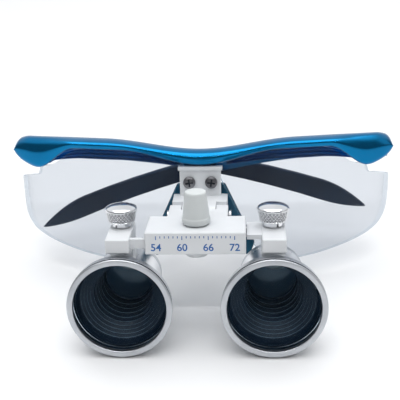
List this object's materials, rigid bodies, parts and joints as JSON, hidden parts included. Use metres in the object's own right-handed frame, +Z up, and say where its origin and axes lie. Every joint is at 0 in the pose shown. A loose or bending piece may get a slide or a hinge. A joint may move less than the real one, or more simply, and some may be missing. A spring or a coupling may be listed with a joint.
{
  "type": "dental loupes",
  "caption": "Clip-on flip-up binocular magnifier with adjustable pupil distance on blue wrap-around glasses with a clear shield lens and folded temples.",
  "frame": {"origin": "centre of the bounding box in plan, on the surface that the loupes stand on", "axes": "+X across the glasses, from the wearer's right to the wearer's left seen from in front; +Y from the barrels' fronts towards the glasses; +Z up"},
  "size_m": [0.1518, 0.0788, 0.0568],
  "materials": {
    "white_plastic": "moulded white plastic, satin",
    "grey_plastic": "moulded light grey plastic",
    "chrome": "chromed, knurled",
    "steel": "turned steel",
    "satin_aluminium": "satin anodised",
    "silver_barrel": "silver, turned",
    "black_baffle": "matt black, ribbed",
    "optical_glass": "coated optical glass",
    "clear_lens": "clear polycarbonate",
    "blue_frame": "glossy metallic blue",
    "navy_rail": "dark blue plastic",
    "navy_sleeve": "matt navy rubber",
    "teal_nosepiece": "dark teal plastic",
    "soft_pad": "soft dark pad"
  },
  "bodies": {
    "eyewear": {"brow_frame": "blue_frame", "shield_lens": "clear_lens", "lens_rail_left": "navy_rail", "lens_rail_right": "navy_rail", "nosepiece": "teal_nosepiece", "nose_pad_left": "soft_pad", "nose_pad_right": "soft_pad", "mount_plate": "white_plastic", "plate_screw_left": "steel", "plate_screw_right": "steel", "temple_screw_left": "steel", "temple_screw_right": "steel"},
    "flip_unit": {"slide_housing": "white_plastic", "pinion_cap": "white_plastic", "flip_pin": "steel", "flip_pin_clip": "steel"},
    "pinion_unit": {"pinion": "steel", "pinion_knob": "grey_plastic"},
    "left_temple": {"temple_left": "blue_frame", "temple_sleeve_left": "navy_sleeve"},
    "left_slide": {"slide_block_left": "white_plastic", "spring_washer_left": "steel"},
    "left_thumb_screw": {"thumb_screw_left": "chrome"},
    "left_barrel": {"barrel_hanger_left": "white_plastic", "bezel_left": "satin_aluminium", "objective_lens_left": "optical_glass", "barrel_shell_left": "silver_barrel", "baffle_left": "black_baffle", "eyepiece_ring_left": "silver_barrel", "eyepiece_lens_left": "optical_glass"},
    "right_temple": {"temple_right": "blue_frame", "temple_sleeve_right": "navy_sleeve"},
    "right_slide": {"slide_block_right": "white_plastic", "spring_washer_right": "steel"},
    "right_thumb_screw": {"thumb_screw_right": "chrome"},
    "right_barrel": {"barrel_hanger_right": "white_plastic", "bezel_right": "satin_aluminium", "objective_lens_right": "optical_glass", "barrel_shell_right": "silver_barrel", "baffle_right": "black_baffle", "eyepiece_ring_right": "silver_barrel", "eyepiece_lens_right": "optical_glass"}
  },
  "joints": [
    {"name": "flip_hinge", "type": "hinge", "parent": "eyewear", "child": "flip_unit", "pos_m": [0, 0.00021, 0.03493], "axis": [-1, 0, 0], "range_deg": [-10, 60]},
    {"name": "left_pupil_slide", "type": "slide", "parent": "flip_unit", "child": "left_slide", "axis": [-1, 0, 0], "range_m": [0, 0.009]},
    {"name": "right_pupil_slide", "type": "slide", "parent": "flip_unit", "child": "right_slide", "axis": [1, 0, 0], "range_m": [0, 0.009]},
    {"name": "pinion_turn", "type": "hinge", "parent": "flip_unit", "child": "pinion_unit", "pos_m": [0, -0.01902, 0.03831], "axis": [0, -0.2234, -0.9747], "range_deg": [0, 143.5]},
    {"name": "left_barrel_swivel", "type": "hinge", "parent": "left_slide", "child": "left_barrel", "pos_m": [-0.027, -0.01496, 0.03276], "axis": [0, 0.2234, 0.9747], "range_deg": [-8, 8]},
    {"name": "left_thumb_screw_turn", "type": "hinge", "parent": "left_slide", "child": "left_thumb_screw", "pos_m": [-0.027, -0.01228, 0.04446], "axis": [0, 0.2234, 0.9747], "continuous": true},
    {"name": "left_temple_fold", "type": "hinge", "parent": "eyewear", "child": "left_temple", "pos_m": [-0.0705, 0.03495, 0.04595], "axis": [0, 0.2234, 0.9747], "range_deg": [0, 91]},
    {"name": "right_barrel_swivel", "type": "hinge", "parent": "right_slide", "child": "right_barrel", "pos_m": [0.027, -0.01496, 0.03276], "axis": [0, 0.2234, 0.9747], "range_deg": [-8, 8]},
    {"name": "right_thumb_screw_turn", "type": "hinge", "parent": "right_slide", "child": "right_thumb_screw", "pos_m": [0.027, -0.01228, 0.04446], "axis": [0, 0.2234, 0.9747], "continuous": true},
    {"name": "right_temple_fold", "type": "hinge", "parent": "eyewear", "child": "right_temple", "pos_m": [0.0705, 0.03495, 0.04595], "axis": [0, -0.2234, -0.9747], "range_deg": [0, 94]}
  ],
  "couplings": [
    {"joint": "right_pupil_slide", "follows": "left_pupil_slide", "ratio": 1},
    {"joint": "pinion_turn", "follows": "left_pupil_slide", "rad_per_m": 277.78}
  ]
}
